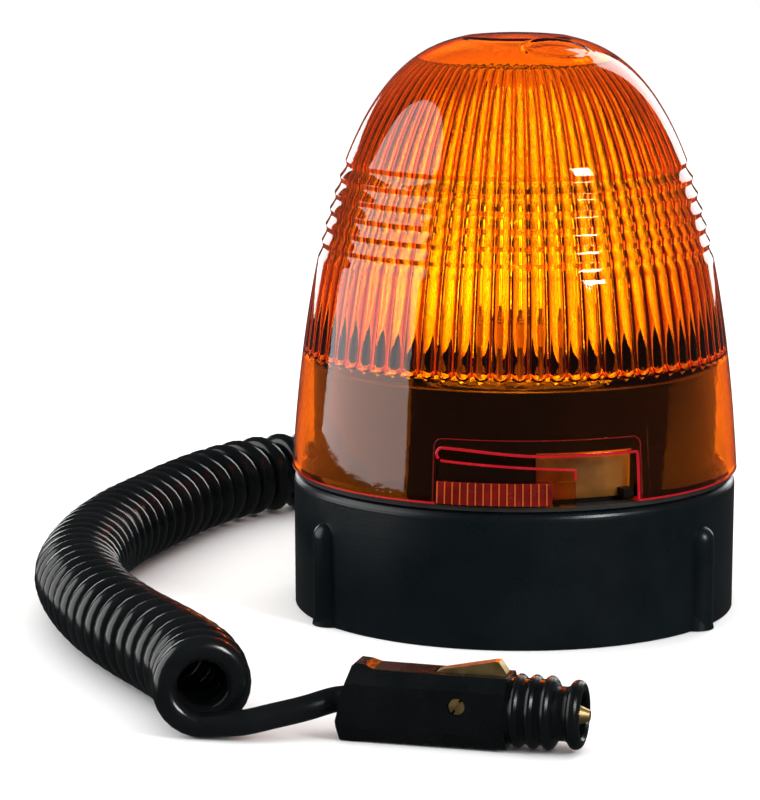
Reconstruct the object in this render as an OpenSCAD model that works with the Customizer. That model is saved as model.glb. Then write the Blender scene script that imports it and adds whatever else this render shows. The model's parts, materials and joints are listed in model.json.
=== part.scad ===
// Magnetic-base rotating warning beacon with a coiled 12 V lead and its lighter plug.
// Frame: origin on the axis at the underside, +Z up, -Y is the front, +X the right.
// Angles called "az" are counted from the front, -Y, towards +X.

/* [Base] */
// Outer radius of the base at its top edge
base_r = 73.2; // [72:0.1:75]
// Height of the base up to the lens seal
base_h = 44.2; // [44:0.1:46]
// Wall of the moulded shells
wall = 2.7; // [2.4:0.1:3]
// Where the three outside ribs stand
rib_az = [-59, 54, 177];
// Radius of an outside rib
rib_r = 4.8; // [4:0.1:5.5]

/* [Lens] */
// Outer radius of the lens at its lower edge
lens_r = 73.8; // [73.4:0.1:75]
// Height of the lens top above the underside
lens_top = 188.8; // [188.5:0.1:190]
// Wall of the lens
lens_wall = 3; // [2.5:0.1:3.5]
// First and last azimuth of the latch opening
latch_az = [-21.5, 30];
// Azimuth where the latch tongue ends
tongue_az = 12.9; // [10:0.1:16]

/* [Rotating reflector] */
// Focal length of the dish
dish_f = 28; // [26:1:30]
// Half the width of the dish, and its depth below the lamp
dish_half = [50, 41]; // [38:1:52]
// Height of the dish above the lamp
dish_top = 52; // [41:1:52]
// Height of the lamp's filament
lamp_z = 119; // [118:0.5:121]

/* [Gears] */
// Module of both gear pairs
gear_m = 0.8; // [0.8]
// Pressure angle
gear_pa = 25; // [25]
// Tooth thinning that gives the running play
gear_play = 0.12; // [0.1:0.01:0.16]
// Teeth of the ring gear, idler pinion, idler wheel and motor pinion
teeth = [72, 12, 40, 10];

/* [Lead] */
// Diameter of the lead
lead_d = 7.4; // [7:0.1:7.5]
// Outer radius of the coiled part of the lead
coil_r = 14.4; // [14:0.1:15]

/* [Plug] */
// Height of the plug's axis above the floor
plug_z = 10.7; // [10.6:0.1:11]
// Length of the moulded body behind the nose
plug_body_l = 48; // [46:1:50]
// Radius of the nose's three ribs
plug_rib_r = 10.5; // [10.3:0.05:10.5]

/* [Hidden] */
$fn = 96;

// heights of the floors and decks
pad_h = 1.5;
cup_top = 12;
plate_top = 14.5;
deck_z = [38, 41];
drum_deck_z = [63, 66];
drum_top = 81;
seal_z = [base_h + 0.1, base_h + 1.6];
lens_z0 = base_h + 1.8;

// radii of the inner structure
drum_r = 66.5;
base_screw_pc = 60;
drum_screw_pc = 60.5;
base_screw_az = [60, 180, 300];
drum_screw_az = [0, 120, 240];
magnet_r = 35;
post_r = [4, 7.4];

// gear train: the idler stands behind the post and the motor to its left
idler_c = [0, gear_m * (teeth[0] + teeth[1]) / 2];
motor_c = idler_c + [-gear_m * (teeth[2] + teeth[3]) / 2, 0];
low_gear_z = [67, 69.5];
high_gear_z = [70, 73.5];
table_z = 75;

// where the lead leaves the base
gland_az = 210;
gland_z = 22;

// plug frame
plug_pos = [-54, -171];
plug_yaw = -15.5;

// route of the straight stretch from the strain relief up to the coil
lead_route = [[-50, 86.6, 22], [-54, 94, 20], [-57, 104, 15.5], [-57, 116, 12],
              [-54, 128, 12.5], [-50, 137, 15.5], [-47, 145, 20]];
// axis of the coil on the floor, from the base end to the plug end
coil_route = [[-42, 158], [-68, 154], [-90, 141], [-105, 121], [-116, 98], [-125, 74],
              [-134, 48], [-140, 22], [-143, -4], [-143, -30], [-138, -56], [-130, -82],
              [-119, -108], [-107, -132], [-98, -154], [-95, -172]];
// route of the straight stretch from the coil's lowest point to the plug
tail_route = [[-94, -176, 3.8], [-84, -176, 5], [-75, -175, 6.6], [-66, -173, 8.3],
              [-58, -170.1, 10], [-53.5, -171.2, 10.7]];

// ---------- helpers ----------

// turns a child from the front, -Y, to the given azimuth
module at_az(az) { rotate([0, 0, az]) children(); }

// a screw along +Z: head below z = 0, shank above it, with a cross recess in the head
module screw(head_r, head_h, shank_r, shank_l) {
    difference() {
        translate([0, 0, -head_h]) cylinder(h = head_h, r = head_r, $fn = 32);
        for (a = [0, 90])
            rotate([0, 0, a])
                translate([-head_r * 0.6, -0.35, -head_h - 1]) cube([head_r * 1.2, 0.7, 2]);
    }
    cylinder(h = shank_l, r = shank_r, $fn = 32);
}

// a flat ring of rectangular section
module ring(r0, r1, z0, z1) {
    difference() {
        translate([0, 0, z0]) cylinder(h = z1 - z0, r = r1);
        translate([0, 0, z0 - 1]) cylinder(h = z1 - z0 + 2, r = r0);
    }
}

// a sector of a ring between two azimuths
module sector(r0, r1, z0, z1, az0, az1) {
    rotate([0, 0, az0 - 90])
        rotate_extrude(angle = az1 - az0)
            translate([r0, z0]) square([r1 - r0, z1 - z0]);
}

// involute tooth outline: half the angle that a tooth takes up at radius r
function inv(a) = tan(a) * 180 / PI - a;
function tooth_half(r, rp) =
    let (rb = rp * cos(gear_pa), rr = max(r, rb * 1.0001))
    (PI * gear_m / 2 - gear_play) / (2 * rp) * 180 / PI + inv(gear_pa) - inv(acos(rb / rr));
function gear_outline(n) =
    let (rp = gear_m * n / 2, root = rp - gear_m, tip = rp + 0.8 * gear_m,
         start = max(root, rp * cos(gear_pa)), steps = 3)
    [for (i = [0 : n - 1])
        let (mid = 360 * i / n,
             radii = concat([root], [for (k = [0 : steps]) start + (tip - start) * k / steps]))
        each concat(
            [for (k = [0 : steps + 1])
                radii[k] * [cos(mid - tooth_half(radii[k], rp)),
                            sin(mid - tooth_half(radii[k], rp))]],
            [for (k = [steps + 1 : -1 : 0])
                radii[k] * [cos(mid + tooth_half(radii[k], rp)),
                            sin(mid + tooth_half(radii[k], rp))]])];
module gear(n, z0, z1, phase) {
    translate([0, 0, z0]) rotate([0, 0, phase])
        linear_extrude(z1 - z0) polygon(gear_outline(n));
}

// a round tube swept along a list of points as one closed polyhedron; ref is any direction
// that the route never runs along
function unit(v) = v / norm(v);
function tangent(p, i) =
    unit(p[min(i + 1, len(p) - 1)] - p[max(i - 1, 0)]);
function ring_points(p, i, r, sides, ref) =
    let (t = tangent(p, i), side = unit(cross(t, ref)), up = cross(t, side))
    [for (k = [0 : sides - 1])
        p[i] + r * (cos(360 * (k + 0.5) / sides) * side + sin(360 * (k + 0.5) / sides) * up)];
module swept(p, r, sides, ref = [0, 0, 1]) {
    rings = len(p);
    polyhedron(
        points = [for (i = [0 : rings - 1]) each ring_points(p, i, r, sides, ref)],
        faces = concat(
            [[for (k = [0 : sides - 1]) k]],
            [for (i = [0 : rings - 2], k = [0 : sides - 1])
                let (a = i * sides + k, b = i * sides + (k + 1) % sides)
                [a, a + sides, b + sides, b]],
            [[for (k = [sides - 1 : -1 : 0]) (rings - 1) * sides + k]]),
        convexity = 6);
}

// ---------- base and magnet ----------

// outer wall of the base moulding, with the hole for the cable gland
module base_skirt() {
    color("#15191b")
    difference() {
        skirt_cone(0);
        translate([0, 0, -1]) cylinder(h = deck_z[0] + 2, r = base_r - wall);
        at_az(gland_az) translate([0, -60, gland_z]) rotate([90, 0, 0])
            cylinder(h = 20, r = 6.1, $fn = 48);
    }
}

// the solid cone that the wall's outside lies on
module skirt_cone(extra) {
    draft = 0.2;
    past = draft * extra / deck_z[0];
    translate([0, 0, -extra])
        cylinder(h = deck_z[0] + 2 * extra, r1 = base_r - draft - past, r2 = base_r + past);
}

// top of the base moulding: the deck, the collar around the drum and the rounded lip
module base_deck() {
    lip = 3;
    color("#15191b")
    difference() {
        rotate_extrude()
            polygon(concat(
                [[56, deck_z[0]], [56, deck_z[1]], [drum_r + 0.5, deck_z[1]],
                 [drum_r + 0.5, base_h]],
                [for (a = [90 : -15 : 0])
                    [base_r - lip + lip * cos(a), base_h - lip + lip * sin(a)]],
                [[base_r, deck_z[0]]]));
        for (az = drum_screw_az)
            at_az(az) translate([0, -drum_screw_pc, deck_z[0] - 1])
                cylinder(h = 6, r = 1.8, $fn = 32);
    }
}

// ribs on the outside of the wall
module base_ribs() {
    color("#15191b")
    for (az = rib_az)
        difference() {
            at_az(az) {
                translate([0, -base_r + 1.4, 0]) cylinder(h = 29, r = rib_r, $fn = 40);
                translate([0, -base_r + 1.4, 29]) sphere(r = rib_r, $fn = 40);
                translate([0, -base_r + 2.6, 0])
                    cylinder(h = 14, r1 = rib_r + 1.4, r2 = rib_r - 1, $fn = 40);
            }
            skirt_cone(1);
        }
}

// posts under the deck that take the base screws
module base_posts() {
    color("#15191b")
    for (az = base_screw_az)
        at_az(az) translate([0, -base_screw_pc, 0]) difference() {
            translate([0, 0, plate_top]) cylinder(h = deck_z[0] - plate_top, r = 4.5, $fn = 32);
            translate([0, 0, plate_top - 1]) cylinder(h = 18, r = 1.7, $fn = 32);
        }
}

module base_plate() {
    color("#3a3d40")
    difference() {
        translate([0, 0, cup_top]) cylinder(h = plate_top - cup_top, r = base_r - wall - 0.3);
        for (az = base_screw_az)
            at_az(az) translate([0, -base_screw_pc, 0]) cylinder(h = 30, r = 1.9, $fn = 32);
        cylinder(h = 30, r = 2.1, $fn = 32);
    }
}

module base_screws() {
    color("silver")
    for (az = base_screw_az)
        at_az(az) translate([0, -base_screw_pc, cup_top]) screw(3.6, 2.2, 1.6, 17);
}

module magnet_pad() {
    color("#101010") cylinder(h = pad_h, r = magnet_r + 1);
}

module magnet_cup() {
    color("gainsboro")
    difference() {
        translate([0, 0, pad_h]) cylinder(h = cup_top - pad_h, r = magnet_r);
        translate([0, 0, pad_h - 1]) cylinder(h = cup_top - pad_h - 2, r = magnet_r - 3);
        cylinder(h = 30, r = 2.1, $fn = 32);
    }
}

module magnet_ring() {
    color("#4a4a4c") ring(12, magnet_r - 3.4, pad_h, cup_top - 3);
}

module magnet_screw() {
    color("silver") translate([0, 0, cup_top - 3]) screw(4, 2.4, 2, 8.4);
}

module magnet_nut() {
    color("silver")
    difference() {
        translate([0, 0, plate_top]) cylinder(h = 2.6, r = 4.2, $fn = 6);
        cylinder(h = 30, r = 2.05, $fn = 32);
    }
}

// ---------- lead entry ----------

module along_gland(start) {
    at_az(gland_az) translate([0, -start, gland_z]) rotate([90, 0, 0]) children();
}

module cable_gland() {
    color("#111416")
    along_gland(66) difference() {
        union() {
            cylinder(h = 8.5, r = 5.9, $fn = 48);
            translate([0, 0, base_r - 66 + 0.1]) cylinder(h = 2.4, r = 8, $fn = 48);
        }
        translate([0, 0, -1]) cylinder(h = 20, r = lead_d / 2 + 0.05, $fn = 48);
    }
}

module gland_nut() {
    color("#1c2022")
    along_gland(66) difference() {
        cylinder(h = 3.4, r = 8.3, $fn = 6);
        translate([0, 0, -1]) cylinder(h = 8, r = 6, $fn = 48);
    }
}

module strain_relief() {
    color("#0f1213")
    along_gland(base_r + 2.5) difference() {
        cylinder(h = 24.3, r1 = 6.6, r2 = 4.7, $fn = 48);
        translate([0, 0, -1]) cylinder(h = 30, r = lead_d / 2 + 0.05, $fn = 48);
        for (i = [0 : 3])
            translate([0, 0, 5 + 4.5 * i]) difference() {
                cylinder(h = 1.4, r = 9, $fn = 48);
                translate([0, 0, -1]) cylinder(h = 4, r = 4.4, $fn = 48);
                translate([-1.5, -9, -1]) cube([3, 18, 4]);
            }
    }
}

// ---------- drum that carries the drive ----------

module housing_drum() {
    bayonet_h = 5;
    color("#191c1e")
    difference() {
        union() {
            ring(drum_r - wall, drum_r, deck_z[1], drum_top);
            translate([0, 0, drum_deck_z[0]])
                cylinder(h = drum_deck_z[1] - drum_deck_z[0], r = drum_r - wall + 0.5);
            for (az = drum_screw_az)
                at_az(az) translate([0, -drum_screw_pc, deck_z[1]])
                    cylinder(h = 17, r = 4, $fn = 32);
            // lugs that the lens locks on, the first of them in the latch opening
            for (az = [28, 148, 268])
                sector(drum_r - 1, az == 28 ? 71.6 : 69.8, 47.5,
                       az == 28 ? 50 : 47.5 + bayonet_h, az - 1.5, az + 1.5);
            translate([idler_c[0], idler_c[1], drum_deck_z[1]])
                cylinder(h = 0.7, r = 3, $fn = 32);
        }
        translate([0, 0, drum_deck_z[0] - 1]) cylinder(h = 6, r = post_r[1]);
        for (az = drum_screw_az)
            at_az(az) translate([0, -drum_screw_pc, deck_z[1] - 1])
                cylinder(h = 14, r = 1.6, $fn = 32);
        translate([idler_c[0], idler_c[1], 60]) cylinder(h = 9, r = 1.5, $fn = 32);
        translate([motor_c[0], motor_c[1], 60]) {
            cylinder(h = 9, r = 1.8, $fn = 32);
            for (x = [-6, 6])
                translate([x, 0, 0]) {
                    cylinder(h = 9, r = 1.35, $fn = 24);
                    translate([0, 0, 4.3]) cylinder(h = 9, r = 2.5, $fn = 32);
                }
        }
    }
}

module drum_screws() {
    color("silver")
    for (az = drum_screw_az)
        at_az(az) translate([0, -drum_screw_pc, deck_z[0]]) screw(3, 2.2, 1.5, 14);
}

// ---------- motor ----------

module at_motor(z) { translate([motor_c[0], motor_c[1], z]) children(); }

module motor_can() {
    color("silver")
    at_motor(33) difference() {
        cylinder(h = 30, r = 12);
        translate([0, 0, -1]) cylinder(h = 29.5, r = 10.6);
        cylinder(h = 40, r = 1.06, $fn = 32);
        for (x = [-6, 6])
            translate([x, 0, 20]) cylinder(h = 20, r = 1.3, $fn = 24);
    }
}

module motor_end_cap() {
    color("#2b2b2d")
    at_motor(30) difference() {
        cylinder(h = 3, r = 12);
        translate([0, 0, 1]) cylinder(h = 5, r = 1.06, $fn = 32);
    }
}

module motor_magnets() {
    color("#55565a")
    at_motor(0)
        for (az = [0, 180])
            sector(9.9, 10.6, 38, 58, az - 55, az + 55);
}

module motor_terminals() {
    color("goldenrod")
    at_motor(26)
        for (x = [-6, 6])
            translate([x - 1.4, -0.25, 0]) cube([2.8, 0.5, 4]);
}

module motor_screws() {
    color("silver")
    for (x = [-6, 6])
        at_motor(64.3) translate([x, 0, 0]) difference() {
            union() {
                cylinder(h = 1.5, r = 2.2, $fn = 32);
                translate([0, 0, -4]) cylinder(h = 4, r = 1.25, $fn = 24);
            }
            translate([-3, -0.3, 0.8]) cube([6, 0.6, 2]);
        }
}

module motor_leads() {
    color("dimgray")
    for (s = [-1, 1])
        swept([[motor_c[0] + 6 * s, motor_c[1], 26], [motor_c[0] + 6 * s, motor_c[1], 24],
               [-9 + 4 * s, 25 - 3 * s, 23.5]], 0.7, 6, [0.6, 0.8, 0]);
}

module motor_shaft() {
    color("lightsteelblue") at_motor(31.2) cylinder(h = low_gear_z[1] - 31.2, r = 1, $fn = 32);
}

module motor_armature() {
    color("peru")
    at_motor(0) difference() {
        union() {
            ring(1, 9.4, 40, 56);
            ring(1, 4, 35, 40);
        }
        for (i = [0 : 2])
            rotate([0, 0, 120 * i]) translate([5, -0.9, 39.5]) cube([6, 1.8, 18]);
    }
}

module motor_pinion() {
    color("ivory")
    at_motor(0) difference() {
        gear(teeth[3], low_gear_z[0], low_gear_z[1], 180 / teeth[3]);
        translate([0, 0, 60]) cylinder(h = 20, r = 1, $fn = 32);
    }
}

// ---------- gear train ----------

module at_idler(z) { translate([idler_c[0], idler_c[1], z]) children(); }

module idler_axle() {
    color("lightsteelblue") {
        at_idler(62) cylinder(h = 11.8, r = 1.5, $fn = 32);
        at_idler(73.8) cylinder(h = 0.8, r = 2.6, $fn = 32);
    }
}

module idler_gear() {
    color("ivory")
    at_idler(0) difference() {
        union() {
            gear(teeth[2], low_gear_z[0], low_gear_z[1], 180);
            gear(teeth[1], low_gear_z[1], high_gear_z[1], -90 + 180 / teeth[1]);
        }
        translate([0, 0, 60]) cylinder(h = 20, r = 1.55, $fn = 32);
        for (i = [0 : 4])
            rotate([0, 0, 72 * i + 36]) translate([10.5, 0, 60]) cylinder(h = 20, r = 2.8, $fn = 24);
    }
}

module ring_gear() {
    color("ivory")
    difference() {
        union() {
            gear(teeth[0], high_gear_z[0], high_gear_z[1], 90);
            translate([0, 0, 73]) cylinder(h = table_z - 73, r = 26);
            translate([0, 0, 66.6]) cylinder(h = 6, r = 12);
        }
        translate([0, 0, 60]) cylinder(h = 20, r = 9);
        for (x = [-5, 5])
            translate([x, 20, 60]) cylinder(h = 20, r = 1.3, $fn = 24);
        for (a = [-60, 0, 60])
            rotate([0, 0, 180 + a]) translate([0, 19, 60]) cylinder(h = 20, r = 4, $fn = 32);
    }
}

module turntable_bush() { color("#b8863b") ring(post_r[1] + 0.05, 9, 66.4, table_z); }

// ---------- lamp post and lamp ----------

module lamp_post() {
    color("#b9bcc0") {
        difference() {
            union() {
                translate([0, 0, 60]) cylinder(h = 26, r = post_r[1]);
                translate([0, 0, 60]) cylinder(h = 3, r = 10.5);
            }
            translate([0, 0, 59]) cylinder(h = 30, r = post_r[0]);
        }
    }
}

module thrust_washer() { color("gainsboro") ring(post_r[1] + 0.1, 11.5, 66, 66.3); }

module retaining_clip() {
    color("#7d8085")
    difference() {
        ring(post_r[1], 9.8, table_z + 0.3, table_z + 1.1);
        translate([-2.5, 0, 70]) cube([5, 12, 10]);
    }
}

module lamp_holder() {
    color("#c9c4b5")
    difference() {
        translate([0, 0, 86]) cylinder(h = 8, r = 9.5);
        translate([0, 0, 87.5]) cylinder(h = 10, r = 6.1);
        translate([0, 0, 80]) cylinder(h = 10, r = 2);
    }
}

module bulb_clip() {
    color("lightsteelblue") {
        ring(8.1, 9.4, 94, 94.6);
        for (az = [30, 150, 270])
            sector(8.1, 8.7, 94, 97, az - 14, az + 14);
    }
}

module lamp_contact() { color("goldenrod") translate([0, 0, 81]) cylinder(h = 1.6, r = 2.4, $fn = 32); }

module contact_insulator() {
    color("#6b4a2b") translate([0, 0, 78]) cylinder(h = 3, r = post_r[0] - 0.05, $fn = 48);
}

module wire_positive() {
    color("firebrick")
    swept([[-30.5, 54.6, 22], [-6, 14, 21.5], [0, 3, 25], [1.7, 0, 32], [1.7, 0, 78]], 0.9, 8,
          [0.86, 0.51, 0]);
}

module wire_negative() {
    color("#222222")
    swept([[-33.5, 52.8, 22], [-10, 11, 21.5], [-4, 1, 25], [-1.7, 0, 32], [-1.7, 0, 78]], 0.9, 8,
          [0.86, 0.51, 0]);
}

module bulb_base() {
    color("silver")
    rotate_extrude()
        polygon([[0, 83], [1.4, 83], [1.4, 88], [6, 88], [6, 94.1], [7.9, 94.1], [7.9, 95.3],
                 [4.8, 95.3], [4.8, 98.5], [0, 98.5]]);
}

module bulb_glass() {
    tip = 4.4;
    color("white", 0.4)
    rotate_extrude()
        difference() {
            union() {
                translate([0, 98.5]) square([tip, 28.1]);
                intersection() {
                    translate([0, 126.6]) circle(r = tip, $fn = 48);
                    translate([0, 120]) square([tip, 20]);
                }
            }
            translate([0, 98.5]) square([tip - 0.8, 28.1]);
            intersection() {
                translate([0, 126.6]) circle(r = tip - 0.8, $fn = 48);
                translate([0, 110]) square([tip, 30]);
            }
        }
}

module bulb_filament() {
    wire = 0.35;
    color("gold") {
        for (side = [-1, 1]) {
            end_z = lamp_z + 3 * side;
            translate([1.8 * side, 0, 98.5]) cylinder(h = end_z - 98.1, r = wire, $fn = 16);
            translate([0, 0, end_z]) rotate([0, 90 * side, 0]) cylinder(h = 2.1, r = wire, $fn = 16);
        }
        translate([0, 0, lamp_z - 3]) cylinder(h = 6, r = 0.8, $fn = 24);
    }
}

// ---------- rotating reflector ----------

function dish_y(rho) = dish_f - rho * rho / (4 * dish_f);

module reflector_bracket() {
    color("#9da1a6")
    difference() {
        union() {
            translate([-8, 14, table_z]) cube([16, 17.5, 1.2]);
            translate([-8, 30.3, table_z]) cube([16, 1.2, lamp_z - table_z]);
            translate([0, 31.5, lamp_z]) rotate([90, 0, 0]) cylinder(h = 1.2, r = 8);
        }
        for (x = [-5, 5])
            translate([x, 20, 60]) cylinder(h = 20, r = 1.5, $fn = 24);
        translate([0, 40, lamp_z]) rotate([90, 0, 0]) cylinder(h = 20, r = 1.4, $fn = 24);
    }
}

module reflector_dish() {
    skin = 1.2;
    w = max(dish_half[0], dish_top);
    color("gainsboro")
    translate([0, 0, lamp_z]) rotate([90, 0, 0]) difference() {
        union() {
            intersection() {
                rotate_extrude()
                    polygon(concat(
                        [for (i = [0 : 10]) [w * i / 10, -dish_y(w * i / 10)]],
                        [for (i = [10 : -1 : 0]) [w * i / 10, -dish_y(w * i / 10) - skin]]));
                translate([0, 0, -40]) linear_extrude(60)
                    polygon([for (i = [0 : 59])
                        [dish_half[0] * cos(6 * i),
                         (i < 30 ? dish_top : dish_half[1]) * sin(6 * i)]]);
            }
            translate([0, 0, -30.3]) cylinder(h = 1.8, r = 4, $fn = 32);
        }
        translate([0, 0, -31]) cylinder(h = 2.1, r = 1.3, $fn = 24);
    }
}

module reflector_screws() {
    color("silver") {
        for (x = [-5, 5])
            translate([x, 20, table_z + 1.2]) rotate([180, 0, 0]) screw(2.6, 1.5, 1.25, 5);
        translate([0, 31.5, lamp_z]) rotate([90, 0, 0]) screw(2.6, 1.5, 1.25, 2.4);
    }
}

// ---------- lens ----------

// outline of the lens from its lower edge to the middle of the top, as one Bezier curve
lens_p = [[lens_r, lens_z0], [65.5, 178.8], [30.5, 184.4], [16.8, 187.9]];
function bez(t) = pow(1 - t, 3) * lens_p[0] + 3 * pow(1 - t, 2) * t * lens_p[1]
    + 3 * (1 - t) * t * t * lens_p[2] + pow(t, 3) * lens_p[3];
function bez_dir(t) = unit(pow(1 - t, 2) * (lens_p[1] - lens_p[0])
    + 2 * (1 - t) * t * (lens_p[2] - lens_p[1]) + t * t * (lens_p[3] - lens_p[2]));
function inward(t, d) = let (v = bez_dir(t)) bez(t) + d * [-v[1], v[0]];

module lens_shell() {
    steps = 22;
    rotate_extrude()
        polygon(concat(
            [[lens_r - lens_wall, lens_z0]],
            [for (i = [0 : steps]) bez(i / steps)],
            [[12, lens_top - 0.45], [6, lens_top - 0.1], [0, lens_top],
             [0, lens_top - lens_wall], [7, lens_top - lens_wall - 0.15],
             [14, lens_top - lens_wall - 0.8]],
            [for (i = [steps - 2 : -1 : 1]) inward(i / steps, lens_wall)]));
}

module lens_seal() { color("#1a1a1a") ring(drum_r + 1.2, lens_r - 1.3, seal_z[0], seal_z[1]); }

module lens() {
    color("darkorange", 0.75)
    difference() {
        lens_shell();
        sector(60, 80, lens_z0 - 1, 63.5, latch_az[0] - 0.3, latch_az[1]);
    }
}

module lens_latch() {
    color("orangered", 0.85) {
        intersection() {
            lens_shell();
            sector(60, 80, lens_z0, 58.5, latch_az[0], tongue_az);
        }
        // finger ribs on the outside of the grip
        for (i = [0 : 14])
            sector(lens_r - 2, lens_r + 0.3, lens_z0, lens_z0 + 8.5,
                   latch_az[0] + 0.3 + 1.9 * i, latch_az[0] + 1.1 + 1.9 * i);
    }
}

// ---------- coiled lead ----------

module cord_lead() { color("#0d0f10") swept(lead_route, lead_d / 2, 8); }

module cord_coil() {
    color("#121517") swept([for (p = coil_route) [p[0], p[1], coil_r]], coil_r, 12);
}

module cord_tail() { color("#0d0f10") swept(tail_route, lead_d / 2, 8); }

// ---------- plug: its own axis is +X, the front side is -Y ----------

module at_plug() {
    translate([plug_pos[0], plug_pos[1], plug_z]) rotate([0, 0, plug_yaw]) children();
}

module along_plug(start) { translate([start, 0, 0]) rotate([0, 90, 0]) children(); }

// side view of the moulded body, with its raised lip at the rear
plug_side = [[-0.6, -10.5], [4, -10.6], [8, -10.1], [48, -9.7], [48, 10.2], [27, 10.2],
             [9, 10.4], [6.5, 11.4], [3.5, 11.7], [2.6, 10.9], [-1.3, -4.5]];
// section of the moulded body across its axis
plug_section = [[-8.6, -6], [-5, -13], [5, -13], [8.6, -6], [8.6, 6.5], [5.5, 9.8], [3, 13],
                [-3, 13], [-5.5, 9.8], [-8.6, 6.5]];

module plug_body() {
    difference() {
        intersection() {
            translate([0, 10, 0]) rotate([90, 0, 0]) linear_extrude(20) polygon(plug_side);
            translate([-3, 0, 0]) rotate([90, 0, 90])
                linear_extrude(plug_body_l + 3) polygon(plug_section);
        }
        translate([6, -5.6, -6]) cube([plug_body_l - 12, 11.2, 12]);
        translate([26, -2.4, 5]) cube([plug_body_l - 26.6, 4.8, 9]);
        along_plug(-5) cylinder(h = 20, r = lead_d / 2 + 0.1, $fn = 48);
        along_plug(plug_body_l - 10) cylinder(h = 20, r = 3.4, $fn = 48);
        translate([34.2, 20, 2.1]) rotate([90, 0, 0]) cylinder(h = 40, r = 1.55, $fn = 32);
    }
}

module plug_half_front() {
    color("#131618")
    at_plug() difference() {
        intersection() {
            plug_body();
            translate([-10, -20, -20]) cube([70, 20, 40]);
        }
        translate([34.2, -7.2, 2.1]) rotate([90, 0, 0]) cylinder(h = 5, r = 2.6, $fn = 32);
    }
}

module plug_half_back() {
    color("#131618")
    at_plug() difference() {
        intersection() {
            plug_body();
            translate([-10, 0, -20]) cube([70, 20, 40]);
        }
        translate([34.2, 12, 2.1]) rotate([90, 0, 0]) cylinder(h = 5, r = 3.05, $fn = 6);
    }
}

module plug_nose() {
    land = 0.35;
    color("#16191b")
    at_plug() along_plug(plug_body_l) difference() {
        rotate_extrude()
            polygon(concat(
                [[0, 0], [9.4, 0], [9.4, 0.5]],
                [for (i = [0 : 2], p = [[9.4, -1.6], [plug_rib_r - 0.4, -1], [plug_rib_r, -land],
                                        [plug_rib_r, land], [plug_rib_r - 0.4, 1], [9.4, 1.6]])
                    [p[0], 2.5 + 4.4 * i + p[1]]],
                [[8, 13.6], [7.7, 14.4], [7.7, 16], [8.2, 17]],
                [for (a = [-60 : 20 : 80]) [7.85 + 2 * cos(a), 19 + 2 * sin(a)]],
                [[7.2, 21], [6.6, 20.2], [0, 20.2]]));
        translate([0, 0, -1]) cylinder(h = 30, r = 3.4, $fn = 48);
        translate([0, 0, 13.8]) cylinder(h = 20, r = 6.6, $fn = 48);
    }
}

module plug_screw() {
    color("#a8843e")
    at_plug() translate([34.2, -7.2, 2.1]) rotate([-90, 0, 0]) difference() {
        union() {
            translate([0, 0, -1.3]) cylinder(h = 1.3, r = 2.5, $fn = 32);
            cylinder(h = 13.8, r = 1.5, $fn = 32);
        }
        translate([-4, -0.35, -2]) cube([8, 0.7, 1.3]);
    }
}

module plug_nut() {
    color("silver")
    at_plug() translate([34.2, 8.5, 2.1]) rotate([90, 0, 0]) difference() {
        cylinder(h = 1.4, r = 3, $fn = 6);
        translate([0, 0, -1]) cylinder(h = 5, r = 1.55, $fn = 32);
    }
}

module plug_wires() {
    color("firebrick")
    at_plug() swept([[5, 0, -1.6], [14, 0, -3.2], [31, 0, -3.4], [35.2, 0, -1.8]], 0.8, 6, [0, 1, 0]);
    color("#222222")
    at_plug() swept([[5, 0, 1.6], [14, 0, 3.6], [25.5, 0, 4.6]], 0.8, 6, [0, 1, 0]);
}

module plug_spring() {
    turns = 3;
    color("silver")
    at_plug() along_plug(36.2)
        for (i = [0 : turns - 1])
            translate([0, 0, 0.5 + 0.95 * i])
                rotate_extrude() translate([2.2, 0]) circle(r = 0.45, $fn = 16);
}

module plug_fuse() {
    color("silver")
    at_plug() along_plug(42) {
        cylinder(h = 5, r = 2.6, $fn = 48);
        translate([0, 0, 15]) cylinder(h = 5, r = 2.6, $fn = 48);
        translate([0, 0, 5]) cylinder(h = 10, r = 2.3, $fn = 48);
    }
}

module plug_tip() {
    color("goldenrod")
    at_plug() along_plug(62) rotate_extrude()
        polygon([[0, 0], [3.2, 0], [3.2, 1], [2.9, 1.2], [2.9, 5.4], [1.5, 8.6], [0, 8.6]]);
}

module plug_contact_leaf() {
    color("#8a6a34")
    at_plug() translate([0, 2.1, 0]) rotate([90, 0, 0]) linear_extrude(4.2)
        polygon([[26.8, 8.4], [26.8, 10.2], [28.2, 10.9], [43.5, 14.1], [44.8, 14.1], [47, 11],
                 [47, 9.4], [45.6, 8.6]]);
}

// ---------- one line per node ----------

base_skirt();
base_deck();
base_ribs();
base_posts();
base_plate();
base_screws();
magnet_pad();
magnet_cup();
magnet_ring();
magnet_screw();
magnet_nut();
cable_gland();
gland_nut();
strain_relief();
housing_drum();
drum_screws();
motor_can();
motor_end_cap();
motor_magnets();
motor_terminals();
motor_screws();
motor_leads();
motor_shaft();
motor_armature();
motor_pinion();
idler_axle();
idler_gear();
lamp_post();
thrust_washer();
retaining_clip();
lamp_holder();
bulb_clip();
lamp_contact();
contact_insulator();
wire_positive();
wire_negative();
ring_gear();
turntable_bush();
reflector_bracket();
reflector_dish();
reflector_screws();
bulb_base();
bulb_glass();
bulb_filament();
lens_seal();
lens();
lens_latch();
cord_lead();
cord_coil();
cord_tail();
plug_half_front();
plug_half_back();
plug_nose();
plug_screw();
plug_nut();
plug_wires();
plug_spring();
plug_fuse();
plug_tip();
plug_contact_leaf();
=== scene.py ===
import json
import math

import bmesh
import bpy
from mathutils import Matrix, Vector
from mathutils.noise import noise


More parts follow.
